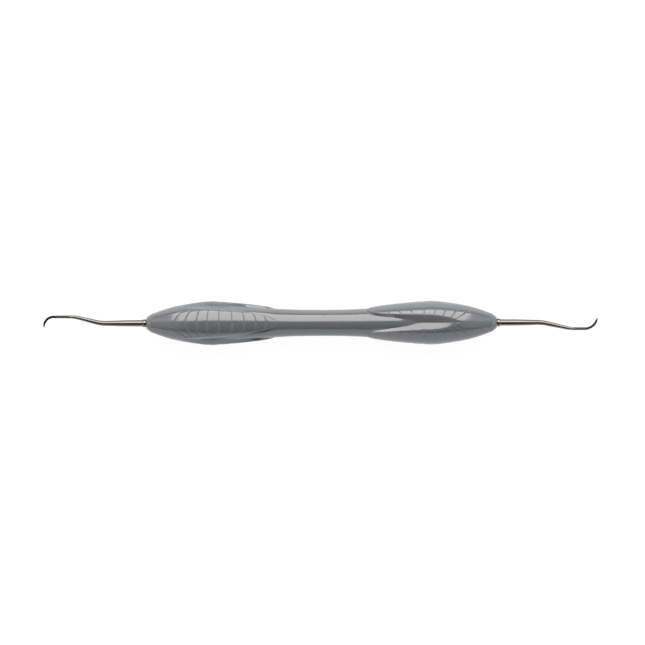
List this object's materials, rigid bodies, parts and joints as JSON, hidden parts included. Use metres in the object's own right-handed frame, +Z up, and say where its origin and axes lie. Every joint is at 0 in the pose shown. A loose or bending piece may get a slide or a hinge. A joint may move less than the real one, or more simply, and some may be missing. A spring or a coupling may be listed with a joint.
{
  "type": "hand scaler",
  "caption": "Double-ended dental hand scaler: ribbed silicone grip on a rigid core, steel collars, and bent polished steel tips with hooked sickle blades.",
  "frame": {"origin": "on the surface that the tool lies on, straight below the middle of the handle's axis", "axes": "+X along the handle's axis towards the right tip, +Z up from the surface, +Y the side that the left tip's first bend goes to"},
  "size_m": [0.1642, 0.013, 0.013],
  "materials": {
    "grip_silicone": "glossy moulded silicone",
    "core_plastic": "moulded",
    "socket_steel": "turned",
    "collar_steel": "turned and polished",
    "tip_steel": "polished"
  },
  "bodies": {
    "root": {"grip_sleeve": "grip_silicone", "handle_core": "core_plastic", "left_end_plug": "socket_steel", "right_end_plug": "socket_steel", "left_collar": "collar_steel", "right_collar": "collar_steel", "left_tip": "tip_steel", "right_tip": "tip_steel"}
  },
  "joints": []
}
